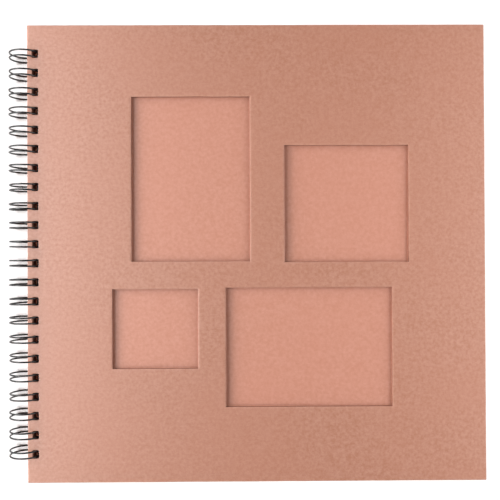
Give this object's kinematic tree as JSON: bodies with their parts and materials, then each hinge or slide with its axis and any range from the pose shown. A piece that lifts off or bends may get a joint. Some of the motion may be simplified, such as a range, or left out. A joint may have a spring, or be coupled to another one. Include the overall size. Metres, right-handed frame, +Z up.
{
  "type": "scrapbook album",
  "caption": "Square scrapbook album: kraft board covers and kraft card leaves on a black twin-loop wire, with rectangular windows die-cut through the front cover.",
  "frame": {"origin": "middle of the closed album's footprint, level with the lowest point of the wire", "axes": "+X from the bound edge to the fore edge, +Y from the foot of the page to its head, +Z up through the front cover"},
  "size_m": [0.3192, 0.3048, 0.0209],
  "materials": {
    "kraft_cover": "matte",
    "kraft_leaf": "matte",
    "black_wire": "satin"
  },
  "bodies": {
    "back": {"back_cover": "kraft_cover", "binding_wire": "black_wire"},
    "leaf_20": {"leaf_20": "kraft_leaf"},
    "leaf_19": {"leaf_19": "kraft_leaf"},
    "leaf_18": {"leaf_18": "kraft_leaf"},
    "leaf_17": {"leaf_17": "kraft_leaf"},
    "leaf_16": {"leaf_16": "kraft_leaf"},
    "leaf_15": {"leaf_15": "kraft_leaf"},
    "leaf_14": {"leaf_14": "kraft_leaf"},
    "leaf_13": {"leaf_13": "kraft_leaf"},
    "leaf_12": {"leaf_12": "kraft_leaf"},
    "leaf_11": {"leaf_11": "kraft_leaf"},
    "leaf_10": {"leaf_10": "kraft_leaf"},
    "leaf_09": {"leaf_09": "kraft_leaf"},
    "leaf_08": {"leaf_08": "kraft_leaf"},
    "leaf_07": {"leaf_07": "kraft_leaf"},
    "leaf_06": {"leaf_06": "kraft_leaf"},
    "leaf_05": {"leaf_05": "kraft_leaf"},
    "leaf_04": {"leaf_04": "kraft_leaf"},
    "leaf_03": {"leaf_03": "kraft_leaf"},
    "leaf_02": {"leaf_02": "kraft_leaf"},
    "leaf_01": {"leaf_01": "kraft_leaf"},
    "front": {"front_cover": "kraft_cover"}
  },
  "joints": [
    {"name": "leaf_20_turn", "type": "hinge", "parent": "back", "child": "leaf_20", "pos_m": [-0.14918, 0, 0.01045], "axis": [0, -1, 0], "range_deg": [0, 180]},
    {"name": "leaf_19_turn", "type": "hinge", "parent": "leaf_20", "child": "leaf_19", "pos_m": [-0.14918, 0, 0.01045], "axis": [0, -1, 0], "range_deg": [0, 180]},
    {"name": "leaf_18_turn", "type": "hinge", "parent": "leaf_19", "child": "leaf_18", "pos_m": [-0.14918, 0, 0.01045], "axis": [0, -1, 0], "range_deg": [0, 180]},
    {"name": "leaf_17_turn", "type": "hinge", "parent": "leaf_18", "child": "leaf_17", "pos_m": [-0.14918, 0, 0.01045], "axis": [0, -1, 0], "range_deg": [0, 180]},
    {"name": "leaf_16_turn", "type": "hinge", "parent": "leaf_17", "child": "leaf_16", "pos_m": [-0.14918, 0, 0.01045], "axis": [0, -1, 0], "range_deg": [0, 180]},
    {"name": "leaf_15_turn", "type": "hinge", "parent": "leaf_16", "child": "leaf_15", "pos_m": [-0.14918, 0, 0.01045], "axis": [0, -1, 0], "range_deg": [0, 180]},
    {"name": "leaf_14_turn", "type": "hinge", "parent": "leaf_15", "child": "leaf_14", "pos_m": [-0.14918, 0, 0.01045], "axis": [0, -1, 0], "range_deg": [0, 180]},
    {"name": "leaf_13_turn", "type": "hinge", "parent": "leaf_14", "child": "leaf_13", "pos_m": [-0.14918, 0, 0.01045], "axis": [0, -1, 0], "range_deg": [0, 180]},
    {"name": "leaf_12_turn", "type": "hinge", "parent": "leaf_13", "child": "leaf_12", "pos_m": [-0.14918, 0, 0.01045], "axis": [0, -1, 0], "range_deg": [0, 180]},
    {"name": "leaf_11_turn", "type": "hinge", "parent": "leaf_12", "child": "leaf_11", "pos_m": [-0.14918, 0, 0.01045], "axis": [0, -1, 0], "range_deg": [0, 180]},
    {"name": "leaf_10_turn", "type": "hinge", "parent": "leaf_11", "child": "leaf_10", "pos_m": [-0.14918, 0, 0.01045], "axis": [0, -1, 0], "range_deg": [0, 180]},
    {"name": "leaf_09_turn", "type": "hinge", "parent": "leaf_10", "child": "leaf_09", "pos_m": [-0.14918, 0, 0.01045], "axis": [0, -1, 0], "range_deg": [0, 180]},
    {"name": "leaf_08_turn", "type": "hinge", "parent": "leaf_09", "child": "leaf_08", "pos_m": [-0.14918, 0, 0.01045], "axis": [0, -1, 0], "range_deg": [0, 180]},
    {"name": "leaf_07_turn", "type": "hinge", "parent": "leaf_08", "child": "leaf_07", "pos_m": [-0.14918, 0, 0.01045], "axis": [0, -1, 0], "range_deg": [0, 180]},
    {"name": "leaf_06_turn", "type": "hinge", "parent": "leaf_07", "child": "leaf_06", "pos_m": [-0.14918, 0, 0.01045], "axis": [0, -1, 0], "range_deg": [0, 180]},
    {"name": "leaf_05_turn", "type": "hinge", "parent": "leaf_06", "child": "leaf_05", "pos_m": [-0.14918, 0, 0.01045], "axis": [0, -1, 0], "range_deg": [0, 180]},
    {"name": "leaf_04_turn", "type": "hinge", "parent": "leaf_05", "child": "leaf_04", "pos_m": [-0.14918, 0, 0.01045], "axis": [0, -1, 0], "range_deg": [0, 180]},
    {"name": "leaf_03_turn", "type": "hinge", "parent": "leaf_04", "child": "leaf_03", "pos_m": [-0.14918, 0, 0.01045], "axis": [0, -1, 0], "range_deg": [0, 180]},
    {"name": "leaf_02_turn", "type": "hinge", "parent": "leaf_03", "child": "leaf_02", "pos_m": [-0.14918, 0, 0.01045], "axis": [0, -1, 0], "range_deg": [0, 180]},
    {"name": "leaf_01_turn", "type": "hinge", "parent": "leaf_02", "child": "leaf_01", "pos_m": [-0.14918, 0, 0.01045], "axis": [0, -1, 0], "range_deg": [0, 180]},
    {"name": "front_cover_turn", "type": "hinge", "parent": "leaf_01", "child": "front", "pos_m": [-0.14918, 0, 0.01045], "axis": [0, -1, 0], "range_deg": [0, 180]}
  ]
}
